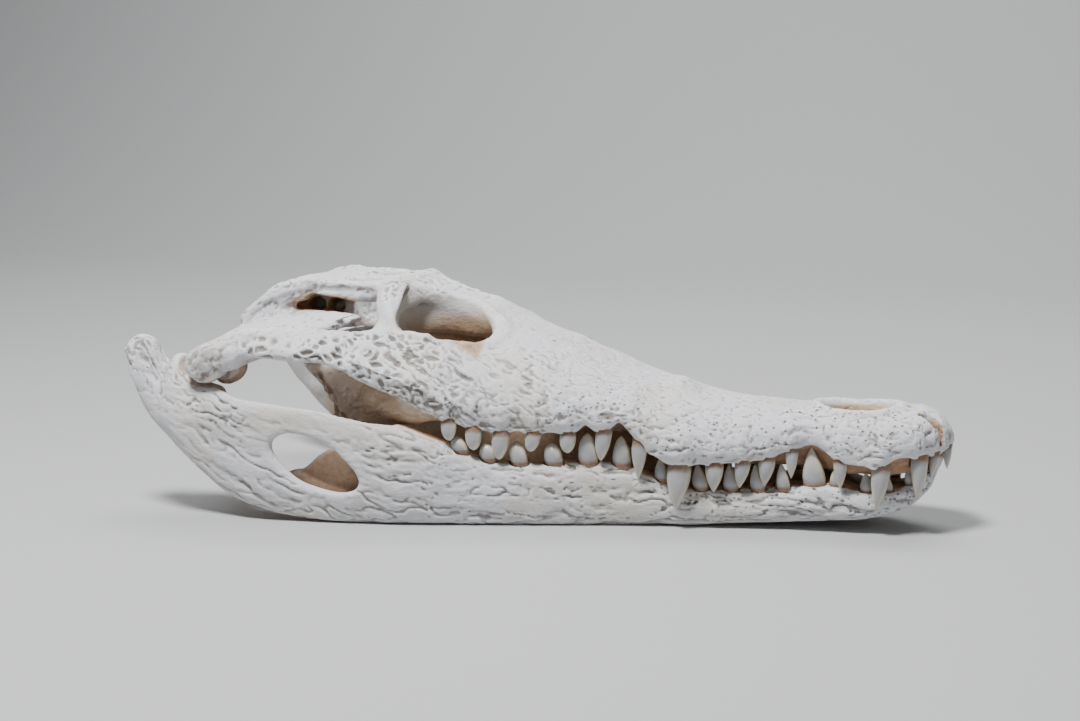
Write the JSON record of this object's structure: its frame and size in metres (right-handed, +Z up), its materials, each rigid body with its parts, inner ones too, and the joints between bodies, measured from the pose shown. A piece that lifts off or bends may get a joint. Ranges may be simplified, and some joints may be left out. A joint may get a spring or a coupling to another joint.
{
  "type": "crocodile skull with lower jaw, dry bone (Nile crocodile, Crocodylus niloticus)",
  "caption": "Dry crocodile skull with its lower jaw: long tapering snout, interlocking cone teeth, eye sockets and a flat rear roof.",
  "frame": {"origin": "on the surface that the lower jaw lies on, under the middle of the skull's length and width", "axes": "+X towards the snout tip, +Y to the animal's left, +Z up"},
  "size_m": [0.5, 0.221, 0.1464],
  "materials": {
    "bone": "matt bleached bone, pitted and grooved, tan inside its openings",
    "jaw_bone": "matt bleached bone with long grooves"
  },
  "bodies": {
    "root": {"cranium": "bone", "mandible_right": "jaw_bone", "mandible_left": "jaw_bone"}
  },
  "joints": []
}
